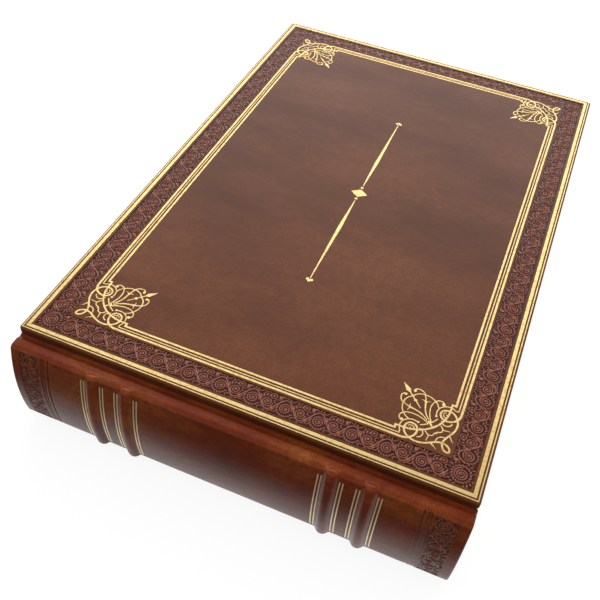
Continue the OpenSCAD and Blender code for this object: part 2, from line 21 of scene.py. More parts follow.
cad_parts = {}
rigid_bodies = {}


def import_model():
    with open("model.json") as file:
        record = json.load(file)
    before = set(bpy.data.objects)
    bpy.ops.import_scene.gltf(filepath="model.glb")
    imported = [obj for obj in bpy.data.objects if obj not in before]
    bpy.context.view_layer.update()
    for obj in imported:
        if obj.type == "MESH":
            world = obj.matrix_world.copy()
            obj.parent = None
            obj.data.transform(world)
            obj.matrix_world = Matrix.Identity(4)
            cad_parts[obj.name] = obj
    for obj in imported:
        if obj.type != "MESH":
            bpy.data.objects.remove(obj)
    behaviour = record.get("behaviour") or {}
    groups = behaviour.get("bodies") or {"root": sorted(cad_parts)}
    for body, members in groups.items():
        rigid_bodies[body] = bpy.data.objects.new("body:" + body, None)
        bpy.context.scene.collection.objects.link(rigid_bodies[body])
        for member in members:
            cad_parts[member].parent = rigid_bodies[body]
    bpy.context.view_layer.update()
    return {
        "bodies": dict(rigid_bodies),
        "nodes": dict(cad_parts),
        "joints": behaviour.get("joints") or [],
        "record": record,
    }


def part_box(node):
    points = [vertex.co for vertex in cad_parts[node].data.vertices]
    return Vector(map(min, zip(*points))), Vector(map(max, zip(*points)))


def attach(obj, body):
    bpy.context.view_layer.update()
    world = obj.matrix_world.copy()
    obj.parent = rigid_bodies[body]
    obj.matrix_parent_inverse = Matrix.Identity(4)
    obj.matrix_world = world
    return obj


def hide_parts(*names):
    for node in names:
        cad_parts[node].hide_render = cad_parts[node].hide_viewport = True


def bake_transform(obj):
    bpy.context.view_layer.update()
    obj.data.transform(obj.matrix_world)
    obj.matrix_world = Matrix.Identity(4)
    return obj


MM = 0.001
LOG = logging.getLogger("guest_book")
Triple = tuple[float, float, float]
Colour = Triple
Field = np.ndarray
Value = float | Colour | bpy.types.NodeSocket
Draw = Callable[[Field, Field], Field]


class Body(Enum):
    """The three bodies that the joints of the book hold together."""

    BLOCK = "book_block"
    FRONT = "front_cover"
    BACK = "back_cover"


class Half(Enum):
    """Upper or lower half of the closed book; the value is its direction along Z."""

    UPPER = 1
    LOWER = -1

    @property
    def cover(self) -> Body:
        """The cover on this side of the book."""
        return Body.FRONT if self is Half.UPPER else Body.BACK


def srgb(red: int, green: int, blue: int) -> Colour:
    """Turns an sRGB colour of 0 to 255 into the linear colour that shaders use.

    Args:
        red: red, 0 to 255.
        green: green, 0 to 255.
        blue: blue, 0 to 255.

    Returns:
        The linear colour.
    """

    def linear(value: int) -> float:
        """One channel, decoded."""
        c = value / 255
        return c / 12.92 if c <= 0.04045 else ((c + 0.055) / 1.055) ** 2.4

    return linear(red), linear(green), linear(blue)


@dataclass(frozen=True)
class BookSizes:
    """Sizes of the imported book, worked out from the boxes of its nodes.

    Attributes:
        edge_x: spine side of the covers.
        fore_x: fore edge of the covers.
        half_h: half of the covers' height.
        top_z: face of the front cover.
        inner_z: inner face of the front cover, under its pastedown.
        leather_t: thickness of the leather.
        spine_x: middle of the rounded spine face.
        joint_half: height of the leather in the joints above the middle of the book.
        hinge_x: fold line of the joints.
        band_rise: height of a raised band.
        band_half: half of a raised band's width.
        band_places: middles of the raised bands along Y.
        block_half_h: half of the pages' height.
        back_x: middle of the pages' rounded back.
        back_r: radius of the pages' rounded back.
        back_half: half of the pages' thickness.
    """

    edge_x: float
    fore_x: float
    half_h: float
    top_z: float
    inner_z: float
    leather_t: float
    spine_x: float
    joint_half: float
    hinge_x: float
    band_rise: float
    band_half: float
    band_places: tuple[float, ...]
    block_half_h: float
    back_x: float
    back_r: float
    back_half: float

    @property
    def mid_z(self) -> float:
        """Height of the middle of the book."""
        return self.top_z / 2

    @classmethod
    def measured(cls, frame: dict) -> "BookSizes":
        """Reads the sizes.


        Returns:
            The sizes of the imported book.
        """
        leather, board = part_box("front_leather"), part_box("front_board")
        pastedown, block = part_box("front_pastedown"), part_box("text_block")
        spine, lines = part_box("spine_leather"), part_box("spine_gilt")
        border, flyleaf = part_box("gilt_border"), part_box("front_flyleaf")
        strips = [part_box(f"raised_band_{i}") for i in range(1, 5)]
        leather_t = leather[1].z - board[1].z
        paper_t = flyleaf[1].z - flyleaf[0].z
        spine_x = lines[0].x + border[1].z - border[0].z
        sag = flyleaf[0].x - block[0].x
        half = block[1].z - border[0].z / 2
        joint = next(j for j in frame["joints"] if j["child"] == Body.FRONT.value)
        return cls(
            edge_x=board[0].x - leather_t,
            fore_x=leather[1].x,
            half_h=leather[1].y,
            top_z=border[0].z,
            inner_z=pastedown[0].z + paper_t,
            leather_t=leather_t,
            spine_x=spine_x,
            joint_half=spine[1].z - border[0].z / 2,
            hinge_x=joint["pos_m"][0],
            band_rise=spine_x - spine[0].x,
            band_half=(strips[0][1].y - strips[0][0].y) / 2 + 0.6 * leather_t,
            band_places=tuple((low.y + high.y) / 2 for low, high in strips),
            block_half_h=block[1].y,
            back_x=block[0].x,
            back_r=(half * half + sag * sag) / (2 * sag),
            back_half=half,
        )


class Nodes:
    """A short way to add and join shader nodes in one tree."""

    def __init__(self, tree: bpy.types.NodeTree) -> None:
        """Starts from an empty tree.

        Args:
            tree: the node tree of a material, world or group.
        """
        self.tree = tree
        tree.nodes.clear()

    def add(
        self, kind: str, inputs: dict[str | int, Value] | None = None, **settings: object
    ) -> bpy.types.Node:
        """Adds a node.

        Args:
            kind: the node's type.
            inputs: values or output sockets for its inputs, by name or number.
            **settings: the node's own properties.

        Returns:
            The new node.
        """
        node = self.tree.nodes.new(kind if kind.startswith("NodeGroup") else "ShaderNode" + kind)
        for name, value in settings.items():
            setattr(node, name, value)
        for name, value in (inputs or {}).items():
            if isinstance(value, bpy.types.NodeSocket):
                self.tree.links.new(value, node.inputs[name])
            else:
                node.inputs[name].default_value = value
        return node

    def maths(self, operation: str, a: Value, b: Value = 0.0) -> bpy.types.NodeSocket:
        """Works one sum out of two values and returns its socket."""
        return self.add("Math", {0: a, 1: b}, operation=operation).outputs[0]

    def fit(
        self, value: Value, start: float, end: float, low: float = 0.0, high: float = 1.0
    ) -> bpy.types.NodeSocket:
        """Carries a value from the range start to end over to low to high, and holds it there."""
        return self.add("MapRange", {0: value, 1: start, 2: end, 3: low, 4: high}).outputs[0]

    def choose(self, share: Value, low: Value, high: Value) -> bpy.types.NodeSocket:
        """Runs from one number to another as share goes from 0 to 1."""
        return self.add("Mix", {0: share, 2: low, 3: high}, data_type="FLOAT").outputs[0]

    def mix(self, share: Value, low: Value, high: Value) -> bpy.types.NodeSocket:
        """Mixes two colours.

        Args:
            share: share of the second colour, a value or socket.
            low: first colour or socket.
            high: second colour or socket.

        Returns:
            The mixed colour's socket.
        """
        colours = [(*c, 1.0) if isinstance(c, tuple) else c for c in (low, high)]
        inputs = {0: share, 6: colours[0], 7: colours[1]}
        return self.add("Mix", inputs, data_type="RGBA").outputs[2]

    def ramp(self, share: Value, *colours: Colour) -> bpy.types.NodeSocket:
        """Runs through evenly spaced colours.

        Args:
            share: 0 for the first colour, 1 for the last.
            *colours: the colours in order.

        Returns:
            The colour's socket.
        """
        node = self.add("ValToRGB", {"Fac": share})
        stops = node.color_ramp.elements
        while len(stops) < len(colours):
            stops.new(1.0)
        for i, colour in enumerate(colours):
            stops[i].position = i / (len(colours) - 1)
            stops[i].color = (*colour, 1.0)
        return node.outputs["Color"]

    def noise(
        self, place: Value, scale: Value, detail: float = 3.0, rough: float = 0.6
    ) -> bpy.types.NodeSocket:
        """A noise pattern's value."""
        inputs = {"Vector": place, "Scale": scale, "Detail": detail, "Roughness": rough}
        return self.add("TexNoise", inputs).outputs["Fac"]


def new_group(name: str, inputs: dict[str, str], outputs: dict[str, str]) -> bpy.types.NodeTree:
    """Makes an empty shader group with named sockets.

    Args:
        name: name of the group.
        inputs: socket types of its inputs, by name.
        outputs: socket types of its outputs, by name.

    Returns:
        The group's node tree.
    """
    group = bpy.data.node_groups.new(name, "ShaderNodeTree")
    for sockets, way in ((inputs, "INPUT"), (outputs, "OUTPUT")):
        for socket, kind in sockets.items():
            group.interface.new_socket(socket, in_out=way, socket_type="NodeSocket" + kind)
    return group


def grain_group() -> bpy.types.NodeTree:
    """Leather grain: pebbles with pores, soft creases, and the cloudy tone of the dye.

    Returns:
        The group's node tree.
    """
    group = new_group(
        "leather_grain",
        {"Place": "Vector", "Pebbles": "Float", "Clouds": "Float"},
        {"Height": "Float", "Cloud": "Float", "Pore": "Float"},
    )
    n = Nodes(group)
    given = n.add("NodeGroupInput").outputs
    place, pebbles = given["Place"], given["Pebbles"]
    cells = n.add("TexVoronoi", {"Vector": place, "Scale": pebbles}, feature="SMOOTH_F1")
    crease = n.noise(place, n.maths("MULTIPLY", pebbles, 0.2), 5.0, 0.65)
    pore = n.noise(place, n.maths("MULTIPLY", pebbles, 0.7), 2.0, 0.7)
    drawn = n.add("VectorMath", {0: place, 1: (1.0, 0.4, 1.0)}, operation="MULTIPLY")
    cloud = n.noise(drawn.outputs[0], given["Clouds"], 6.0, 0.6)
    dome = n.maths("MULTIPLY", cells.outputs["Distance"], -0.5)
    height = n.maths("ADD", dome, crease)
    n.add("NodeGroupOutput", {
        "Height": height,
        "Cloud": n.fit(cloud, 0.3, 0.7),
        "Pore": n.fit(n.maths("ADD", pore, crease), 0.86, 1.14, 1.0, 0.0),
    })
    return group


def fibre_group() -> bpy.types.NodeTree:
    """Paper and card: fibres drawn out along a direction, and a cloudy sheet.

    Returns:
        The group's node tree.
    """
    group = new_group(
        "paper_fibre",
        {"Place": "Vector", "Fibres": "Float", "Stretch": "Vector"},
        {"Height": "Float", "Cloud": "Float"},
    )
    n = Nodes(group)
    given = n.add("NodeGroupInput").outputs
    drawn = n.add("VectorMath", {0: given["Place"], 1: given["Stretch"]}, operation="MULTIPLY")
    fibre = n.noise(drawn.outputs[0], given["Fibres"], 5.0, 0.7)
    cloud = n.noise(given["Place"], 30.0)
    n.add("NodeGroupOutput", {"Height": fibre, "Cloud": n.fit(cloud, 0.35, 0.65)})
    return group


def weave_group() -> bpy.types.NodeTree:
    """Plain weave: threads along Y and Z that cross over and under.

    Returns:
        The group's node tree.
    """
    group = new_group(
        "plain_weave", {"Place": "Vector", "Threads": "Float"}, {"Height": "Float", "Gap": "Float"}
    )
    n = Nodes(group)
    given = n.add("NodeGroupInput").outputs
    axes = n.add("SeparateXYZ", {"Vector": given["Place"]}).outputs
    turns = n.maths("MULTIPLY", given["Threads"], math.pi)
    waves = [n.maths("SINE", n.maths("MULTIPLY", axes[name], turns)) for name in ("Y", "Z")]
    cross = n.maths("MULTIPLY", waves[0], waves[1])
    gap = n.fit(n.maths("ABSOLUTE", cross), 0.0, 0.35, 1.0, 0.0)
    n.add("NodeGroupOutput", {"Height": cross, "Gap": gap})
    return group


@dataclass(frozen=True)
class Finish:
    """A material of the book.

    Attributes:
        name: name of the material.
        slot: the record's material slot that it stands for.
    """

    name: str
    slot: str

    def started(self) -> tuple[bpy.types.Material, Nodes, bpy.types.NodeSocket]:
        """Makes the material with an empty tree.

        Returns:
            The material, its nodes, and the socket of Object coordinates.
        """
        made = bpy.data.materials.new(self.name)
        made.use_nodes = True
        nodes = Nodes(made.node_tree)
        return made, nodes, nodes.add("TexCoord").outputs["Object"]

    @staticmethod
    def close(
        nodes: Nodes, height: bpy.types.NodeSocket, depth: float, **values: Value
    ) -> None:
        """Ends the tree with a Principled BSDF whose normal follows a height.

        Args:
            nodes: the material's nodes.
            height: socket of the height.
            depth: how far the height reaches, in metres.
            **values: the shader's inputs, with spaces written as underscores.
        """
        bump = nodes.add("Bump", {"Strength": 1.0, "Distance": depth, "Height": height})
        inputs = {name.replace("_", " "): value for name, value in values.items()}
        shader = nodes.add("BsdfPrincipled", {**inputs, "Normal": bump.outputs["Normal"]})
        nodes.add("OutputMaterial", {"Surface": shader.outputs["BSDF"]})


@dataclass(frozen=True)
class LeatherFinish(Finish):
    """Dyed, polished calf that also shows the marks of the tools.

    Attributes:
        shade: the darkest tone of the dye.
        body: its main tone.
        glow: the tone where the dye is thin.
        ground: leather pressed down and darkened by a hot tool.
        figure: the figure that the tool leaves standing; its lighter tone is partly a painted
            highlight for the glints on the relief.
        polish: roughness of the glossiest places.
        dull: roughness of the dullest places.
        pebbles: grain pebbles for each metre.
        clouds: clouds of tone for each metre.
        grain: the shared leather grain group.
    """

    shade: Colour
    body: Colour
    glow: Colour
    ground: Colour
    figure: Colour
    polish: float
    dull: float
    pebbles: float
    clouds: float
    grain: bpy.types.NodeTree

    def material(self) -> bpy.types.Material:
        """Builds the material.

        Returns:
            The finished material.
        """
        made, n, place = self.started()
        given = {"Place": place, "Pebbles": self.pebbles, "Clouds": self.clouds}
        skin = n.add("Group", given, node_tree=self.grain)
        cloud, pore, height = (skin.outputs[k] for k in ("Cloud", "Pore", "Height"))
        tone = n.ramp(cloud, self.shade, self.body, self.glow)
        dyed = n.mix(n.maths("MULTIPLY", pore, 0.5), tone, self.shade)
        standing = n.add("Attribute", attribute_name="figure").outputs["Fac"]
        stamped = n.add("Attribute", attribute_name="stamped").outputs["Fac"]
        # The standing figure takes the lighter figure tone, which is partly a painted highlight for
        # its glints.
        colour = n.mix(stamped, dyed, n.mix(standing, self.ground, self.figure))
        rubbed = n.maths("MULTIPLY", n.maths("MULTIPLY", standing, stamped), 0.6)
        self.close(
            n, height, 0.08 * MM, Base_Color=colour, IOR=1.45, Specular_IOR_Level=0.24,
            Roughness=n.fit(cloud, 0.0, 1.0, self.dull, self.polish),
            Coat_Weight=rubbed, Coat_Roughness=0.22,
        )
        return made


@dataclass(frozen=True)
class GoldFinish(Finish):
    """Gold leaf laid through glaire and pressed with a hot tool.

    Attributes:
        bright: tone of the thick leaf.
        warm: tone where the leaf is thin.
    """

    bright: Colour
    warm: Colour

    def material(self) -> bpy.types.Material:
        """Builds the material.

        Returns:
            The finished material.
        """
        made, n, place = self.started()
        worn = n.noise(place, 700.0, 4.0)
        colour = n.mix(n.fit(worn, 0.48, 0.74), self.bright, self.warm)
        self.close(
            n, n.noise(place, 1400.0), 0.003 * MM, Base_Color=colour, Metallic=0.65,
            Roughness=n.fit(worn, 0.3, 0.7, 0.28, 0.44),
        )
        return made


@dataclass(frozen=True)
class PaperFinish(Finish):
    """Paper or card, matt.

    Attributes:
        pale: the lighter tone.
        dark: the tone of the fibres, and of the painted shade in the gaps between leaves.
        fibres: fibres for each metre.
        stretch: how closely fibres lie along X, Y and Z.
        painted_gap_shade: how much the painted shade in the gaps between leaves shows on upright
            faces.
        fibre: the shared paper group.
    """

    pale: Colour
    dark: Colour
    fibres: float
    stretch: Triple
    painted_gap_shade: float
    fibre: bpy.types.NodeTree

    def material(self) -> bpy.types.Material:
        """Builds the material.

        Returns:
            The finished material.
        """
        made, n, place = self.started()
        given = {"Place": place, "Fibres": self.fibres, "Stretch": self.stretch}
        sheet = n.add("Group", given, node_tree=self.fibre)
        up = n.add("SeparateXYZ", {"Vector": n.add("TexCoord").outputs["Normal"]}).outputs["Z"]
        # Upright faces get dark lines along the fibres: painted shade in the gaps between leaves.
        upright = n.fit(n.maths("ABSOLUTE", up), 0.5, 1.0, self.painted_gap_shade, 0.0)
        lines = n.maths("MULTIPLY", n.fit(sheet.outputs["Height"], 0.5, 0.8), upright)
        clouds = n.maths("MULTIPLY", sheet.outputs["Cloud"], 0.2)
        colour = n.mix(n.maths("ADD", lines, clouds), self.pale, self.dark)
        self.close(n, sheet.outputs["Height"], 0.03 * MM, Base_Color=colour, Roughness=0.85)
        return made


@dataclass(frozen=True)
class ClothFinish(Finish):
    """Woven cloth.

    Attributes:
        thread: tone of the threads.
        hole: tone between the threads.
        threads: threads for each metre.
        weave: the shared weave group.
    """

    thread: Colour
    hole: Colour
    threads: float
    weave: bpy.types.NodeTree

    def material(self) -> bpy.types.Material:
        """Builds the material.

        Returns:
            The finished material.
        """
        made, n, place = self.started()
        cloth = n.add("Group", {"Place": place, "Threads": self.threads}, node_tree=self.weave)
        colour = n.mix(cloth.outputs["Gap"], self.thread, self.hole)
        self.close(n, cloth.outputs["Height"], 0.1 * MM, Base_Color=colour, Roughness=0.9)
        return made


@dataclass(frozen=True)
class SilkFinish(Finish):
    """Silk thread wound round the core of an endband, in runs of two colours.

    Attributes:
        first: tone of the ground runs.
        second: tone of the runs between them.
        twist: turns of the thread for each metre.
    """

    first: Colour
    second: Colour
    twist: float

    def material(self) -> bpy.types.Material:
        """Builds the material.

        Returns:
            The finished material.
        """
        made, n, place = self.started()
        run = n.add("Attribute", attribute_name="run").outputs["Fac"]
        inputs = {"Vector": place, "Scale": self.twist}
        turns = n.add("TexWave", inputs, bands_direction="DIAGONAL")
        colour = n.mix(run, self.first, self.second)
        self.close(n, turns.outputs["Fac"], 0.03 * MM, Base_Color=colour, Roughness=0.5)
        return made


class Palette:
    """All materials of the book, built once."""

    def __init__(self) -> None:
        """Builds the shared groups and every finish on them."""
        grain, fibre, weave = grain_group(), fibre_group(), weave_group()
        # The figure tone is lighter than the body: partly a painted highlight for the glints on the
        # tooled relief.
        cover = LeatherFinish(
            "cover_calf", "cover_leather", shade=srgb(92, 44, 17), body=srgb(112, 58, 24),
            glow=srgb(128, 70, 30), ground=srgb(60, 13, 6), figure=srgb(162, 88, 58), polish=0.3,
            dull=0.4, pebbles=1300.0, clouds=22.0, grain=grain,
        )
        # The figure tone is a little lighter than the body: partly a painted highlight for the
        # glints on the stamped panels.
        spine = LeatherFinish(
            "spine_calf", "spine_leather", shade=srgb(104, 36, 10), body=srgb(138, 56, 16),
            glow=srgb(166, 88, 32), ground=srgb(78, 28, 12), figure=srgb(156, 84, 48), polish=0.2,
            dull=0.28, pebbles=1600.0, clouds=60.0, grain=grain,
        )
        # The page edges carry painted shade in the gaps between leaves.
        leaves = PaperFinish(
            "leaf_edges", "page_paper", pale=srgb(238, 228, 202), dark=srgb(176, 156, 120),
            fibres=900.0, stretch=(0.02, 0.02, 9.0), painted_gap_shade=0.8, fibre=fibre,
        )
        endpaper = PaperFinish(
            "endpaper_sheet", "endpaper", pale=srgb(233, 220, 190), dark=srgb(206, 188, 150),
            fibres=500.0, stretch=(1.0, 3.0, 1.0), painted_gap_shade=0.0, fibre=fibre,
        )
        card = PaperFinish(
            "greyboard", "card", pale=srgb(156, 144, 122), dark=srgb(104, 92, 76),
            fibres=1100.0, stretch=(1.0, 1.0, 2.0), painted_gap_shade=0.0, fibre=fibre,
        )
        gold = GoldFinish("gold_leaf", "gold", srgb(244, 216, 146), srgb(216, 164, 82))
        # A paler, brighter copy of the same gold leaf for the spine's lines: a painted highlight.
        spine_gold = GoldFinish("spine_gold_leaf", "gold", srgb(255, 236, 188), srgb(246, 214, 158))
        gauze = ClothFinish(
            "gauze", "lining_cloth", srgb(226, 216, 192), srgb(150, 132, 104), 900.0, weave
        )
        thread = SilkFinish(
            "endband_thread", "endband_silk", srgb(140, 36, 24), srgb(232, 216, 176), 900.0
        )
        finishes = (cover, spine, leaves, endpaper, card, gold, gauze, thread)
        self.by_slot = {finish.slot: finish.material() for finish in finishes}
        # The spine's gilt lines take the paler copy with its painted highlight.
        self.by_node = {"spine_gilt": spine_gold.material()}

    def dress(self, piece: bpy.types.Object, slot: str, node: str = "") -> None:
        """Gives a piece the material of its node or else of its slot.

        Args:
            piece: the object.
            slot: the record's material slot.
            node: the CAD node that the piece is, if it is one.
        """
        piece.data.materials.clear()
        piece.data.materials.append(self.by_node.get(node, self.by_slot[slot]))


def only(*pieces: bpy.types.Object) -> None:
    """Selects these objects and nothing else, and makes the last one active.

    Args:
        *pieces: the objects; with none, nothing stays selected.
    """
    for other in bpy.context.selected_objects:
        other.select_set(False)
    for piece in pieces:
        piece.select_set(True)
        bpy.context.view_layer.objects.active = piece


def pick(
    piece: bpy.types.Object, kind: str,
    wanted: Callable[[bmesh.types.BMFace | bmesh.types.BMEdge], bool],
) -> None:
    """Selects faces or edges of the mesh in edit mode.

    Args:
        piece: the object in edit mode.
        kind: "face" or "edge".
        wanted: says of a face or edge whether it is selected.
    """
    bpy.ops.mesh.select_mode(type=kind.upper())
    bpy.ops.mesh.select_all(action="DESELECT")
    mesh = bmesh.from_edit_mesh(piece.data)
    for part in getattr(mesh, kind + "s"):
        if wanted(part):
            part.select_set(True)
    mesh.select_flush_mode()
    bmesh.update_edit_mesh(piece.data)


def smooth(piece: bpy.types.Object, degrees: float = 40.0) -> None:
    """Shades a piece smooth, with sharp edges where faces meet at a greater angle."""
    only(piece)
    bpy.ops.object.shade_smooth_by_angle(angle=math.radians(degrees))


def mesh_piece(
    name: str, points: Field, faces: list[list[int]], **marks: Field
) -> bpy.types.Object:
    """Makes an object from points and faces.

    Args:
        name: name of the piece.
        points: an array of points, one row each.
        faces: point numbers of each face.
        **marks: values for each point, kept as attributes of the mesh.

    Returns:
        The new object, in the scene.
    """
    mesh = bpy.data.meshes.new(name)
    mesh.from_pydata(points.tolist(), [], faces)
    for mark, values in marks.items():
        held = mesh.attributes.new(mark, "FLOAT", "POINT")
        held.data.foreach_set("value", values.astype(np.float32))
    piece = bpy.data.objects.new(name, mesh)
    bpy.context.collection.objects.link(piece)
    return piece


def grid_faces(rows: int, columns: int, first: int = 0, turned: bool = False) -> Field:
    """Faces of a grid of points numbered row by row.

    Args:
        rows: points along the first direction.
        columns: points along the second direction.
        first: number of the first point.
        turned: whether the faces look the other way.

    Returns:
        An array of faces with four points each.
    """
    number = first + np.arange(rows * columns).reshape(rows, columns)
    corners = [number[:-1, :-1], number[1:, :-1], number[1:, 1:], number[:-1, 1:]]
    return np.stack(corners[::-1] if turned else corners, axis=-1).reshape(-1, 4)


def rim_of(rows: int, columns: int) -> Field:
    """Numbers of a grid's outermost points, in order round the grid."""
    number = np.arange(rows * columns).reshape(rows, columns)
    return np.concatenate([number[:-1, 0], number[-1, :-1], number[:0:-1, -1], number[0, :0:-1]])


def swung(t: Field) -> Field:
    """The smooth step: 0 below 0, 1 above 1, and an even swing between them."""
    t = np.clip(t, 0.0, 1.0)
    return t * t * (3 - 2 * t)


class Motif:
    """A drawing made of strands, leaves and dots, held as the distance from its nearest edge."""

    def __init__(self, along: Field, across: Field) -> None:
        """Starts an empty drawing.

        Args:
            along: first coordinate of each point, in metres.
            across: second coordinate of each point, in metres.
        """
        self.along, self.across = along / MM, across / MM
        self.gap = np.full(np.broadcast(along, across).shape, 1.0)

    def keep(self, gap: Field) -> None:
        """Joins a shape, given as distances from its edge in millimetres, to the drawing."""
        self.gap = np.minimum(self.gap, gap)

    def arc(self, x: float, y: float, r: float, start: float, end: float, w: float) -> None:
        """Draws a stretch of ring.

        Args:
            x: centre along, in millimetres.
            y: centre across, in millimetres.
            r: radius of its middle line, in millimetres.
            start: first angle, in degrees.
            end: last angle, in degrees.
            w: width, in millimetres.
        """
        u, v = self.along - x, self.across - y
        middle = math.radians((start + end) / 2)
        spread = math.radians((end - start) / 2)
        turn = np.abs((np.arctan2(v, u) - middle + math.pi) % (2 * math.pi) - math.pi)
        on_ring = np.abs(np.hypot(u, v) - r)
        first, last = (
            np.hypot(u - r * math.cos(math.radians(a)), v - r * math.sin(math.radians(a)))
            for a in (start, end)
        )
        self.keep(np.where(turn <= spread, on_ring, np.minimum(first, last)) - w / 2)

    def leaf(self, x: float, y: float, length: float, w: float, angle: float) -> None:
        """Draws a pointed leaf.

        Args:
            x: middle along, in millimetres.
            y: middle across, in millimetres.
            length: length, in millimetres.
            w: width at the middle, in millimetres.
            angle: direction, in degrees.
        """
        c, s = math.cos(math.radians(angle)), math.sin(math.radians(angle))
        u = (self.along - x) * c + (self.across - y) * s
        v = (self.across - y) * c - (self.along - x) * s
        self.keep(np.abs(v) - w / 2 * (1 - (2 * u / length) ** 2))

    def dot(self, x: float, y: float, r: float) -> None:
        """Draws a disc, in millimetres."""
        self.keep(np.hypot(self.along - x, self.across - y) - r)

    def spiral(self, x: float, y: float, r: float, turns: float, pitch: float, w: float,
               hand: int) -> None:
        """Draws a spiral that winds inwards from the right.

        Args:
            x: centre along, in millimetres.
            y: centre across, in millimetres.
            r: radius where it starts, in millimetres.
            turns: number of turns.
            pitch: how much nearer the centre each turn lies, in millimetres.
            w: width, in millimetres.
            hand: 1 to wind it counter-clockwise, -1 clockwise.
        """
        u, v = self.along - x, (self.across - y) * hand
        turn = (np.arctan2(v, u) / (2 * math.pi)) % 1.0
        for lap in range(math.ceil(turns)):
            on_lap = np.abs(np.hypot(u, v) - r + pitch * (turn + lap)) - w / 2
            self.keep(np.where(turn + lap <= turns, on_lap, 1.0))

    def fan(self, x: float, y: float, r: float, length: float, w: float, angles: range,
            slant: float) -> None:
        """Draws leaves round a centre, each turned from the radius by a slant.

        Args:
            x: centre along, in millimetres.
            y: centre across, in millimetres.
            r: distance of the leaves' middles from the centre, in millimetres.
            length: length of a leaf, in millimetres.
            w: width of a leaf, in millimetres.
            angles: direction of each leaf, in degrees.
            slant: turn of each leaf from the radius, in degrees.
        """
        for angle in angles:
            c, s = math.cos(math.radians(angle)), math.sin(math.radians(angle))
            self.leaf(x + r * c, y + r * s, length, w, angle + slant)

    def vine(self, middle: float, swing: float, pitch: float, crest: float, w: float) -> None:
        """Draws a stem that swings evenly from side to side.

        Args:
            middle: distance of its middle line from the rim, in millimetres.
            swing: how far it swings to each side, in millimetres.
            pitch: length of one swing there and back, in millimetres.
            crest: place along where it is furthest in, in millimetres.
            w: width, in millimetres.
        """
        phase = 2 * math.pi * (self.along - crest) / pitch
        slope = swing * 2 * math.pi / pitch * np.sin(phase)
        off = np.abs(self.across - middle - swing * np.cos(phase)) / np.hypot(1.0, slope)
        self.keep(off - w / 2)

    def standing(self, softness: float = 0.14) -> Field:
        """How far each point stands up: 1 on the drawing, 0 clear of it."""
        return swung(0.5 - self.gap / softness / 2)


@dataclass(frozen=True)
class ScrollPattern:
    """The running scroll of the blind roll.

    Attributes:
        pitch: length of one repeat.
        width: width of the band.
    """

    pitch: float = 14.7 * MM
    width: float = 10.4 * MM

    def field(self, along: Field, across: Field) -> Field:
        """Draws the scroll.

        Args:
            along: distance along the band.
            across: distance from its outer rim.

        Returns:
            How far each point stands up, 0 to 1.
        """
        drawing = Motif(along % self.pitch, across)
        pitch = self.pitch / MM
        drawing.vine(4.9, 3.6, pitch, 3.7, 0.5)
        for shift in (-pitch, 0.0, pitch):
            self._unit(drawing, 4.0 + shift)
        return drawing.standing()

    @staticmethod
    def _unit(drawing: Motif, at: float) -> None:
        """Draws one repeat: two coils, a berry, curls and leaves, all in millimetres.

        Args:
            drawing: the drawing that takes it.
            at: place of the large coil's middle along the band.
        """
        drawing.spiral(at, 4.2, 2.75, 2.3, 1.0, 0.42, 1)
        drawing.dot(at, 4.2, 0.4)
        drawing.spiral(at + 6.5, 4.9, 2.5, 2.1, 1.0, 0.42, -1)
        drawing.dot(at + 6.5, 4.9, 0.4)
        drawing.arc(at + 8.1, 8.6, 1.3, 0, 360, 0.36)
        drawing.dot(at + 8.1, 8.6, 0.5)
        drawing.fan(at, 4.2, 3.6, 1.6, 0.55, range(190, 350, 20), 52)
        drawing.fan(at + 6.5, 4.9, 3.4, 1.9, 0.6, range(88, 168, 24), -34)
        for x, y, r, start, end in (  # curls
            (-2.4, 8.9, 1.0, 20, 250), (1.6, 9.5, 0.9, 150, 340), (3.6, 9.2, 0.8, -60, 170),
            (-4.4, 2.2, 1.0, 90, 330), (10.0, 6.3, 0.9, 60, 280), (4.3, 0.9, 0.8, 40, 220),
        ):
            drawing.arc(at + x, y, r, start, end, 0.34)
        for x, y, length, w, angle in (  # leaves that stand alone
            (10.9, 8.6, 2.6, 0.8, 98), (11.9, 9.2, 1.8, 0.5, 60), (-0.5, 9.7, 1.5, 0.5, 75),
            (5.6, 9.7, 1.8, 0.5, 15), (6.6, 0.5, 1.8, 0.45, 4), (8.6, 1.0, 1.9, 0.5, 24),
            (9.9, 2.2, 2.0, 0.5, 48), (11.2, 4.2, 1.6, 0.45, 66), (8.9, 3.0, 1.3, 0.4, 60),
            (3.1, 7.1, 1.5, 0.45, 150), (-2.7, 7.3, 1.4, 0.4, 10), (-3.4, 5.4, 1.2, 0.4, -10),
        ):
            drawing.leaf(at + x, y, length, w, angle)

    def corner(self, along: Field, across: Field) -> Field:
        """Draws the square that carries the scroll round a corner of the band.

        Args:
            along: distance from one side of the square.
            across: distance from the side next to it.

        Returns:
            How far each point stands up, 0 to 1.
        """
        drawing = Motif(along, across)
        middle = self.width / MM / 2
        drawing.spiral(middle, middle, 3.0, 2.4, 1.0, 0.45, 1)
        drawing.dot(middle, middle, 0.4)
        drawing.fan(middle, middle, 3.9, 1.9, 0.55, range(0, 360, 20), 54)
        for angle in range(45, 405, 90):
            drawing.fan(middle, middle, 5.5, 1.5, 0.6, range(angle - 24, angle + 25, 16), -30)
        return drawing.standing()


